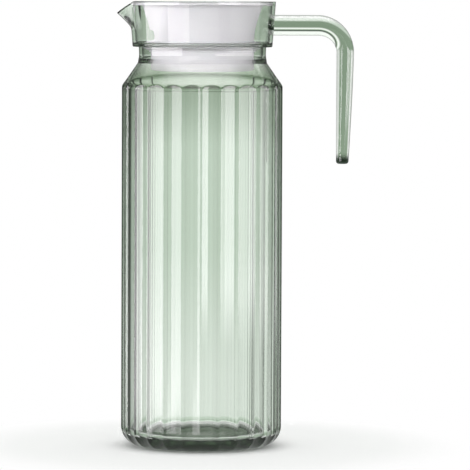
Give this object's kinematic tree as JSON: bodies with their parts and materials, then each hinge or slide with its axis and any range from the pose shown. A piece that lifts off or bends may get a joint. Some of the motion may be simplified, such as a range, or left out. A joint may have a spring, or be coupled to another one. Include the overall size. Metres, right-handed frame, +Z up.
{
  "type": "pitcher with lid",
  "caption": "Tall clear green fluted pitcher with a flared spout collar, a hanging bar handle and a white plug lid whose dial opens a pouring window.",
  "frame": {"origin": "middle of the base, on the bottle's axis, in the plane that the jug stands on", "axes": "+Z up along the bottle's axis, -X towards the spout, +X towards the handle"},
  "size_m": [0.1396, 0.095, 0.262],
  "materials": {
    "clear_green": "clear, glossy, tinted pale green",
    "lid_white": "smooth white, half gloss",
    "soft_seal": "milky silicone"
  },
  "bodies": {
    "jug": {"bottle": "clear_green", "spout_collar": "clear_green", "handle": "clear_green"},
    "lid": {"lid_shell": "lid_white", "lid_seal": "soft_seal", "strainer": "lid_white"},
    "dial": {"pour_dial": "lid_white", "dial_o_ring": "soft_seal"}
  },
  "joints": [
    {"name": "lid_lift", "type": "slide", "parent": "jug", "child": "lid", "axis": [0, 0, 1], "range_m": [0, 0.06]},
    {"name": "dial_turn", "type": "hinge", "parent": "lid", "child": "dial", "pos_m": [0, 0, 0.25], "axis": [0, 0, 1], "range_deg": [0, 90]}
  ]
}
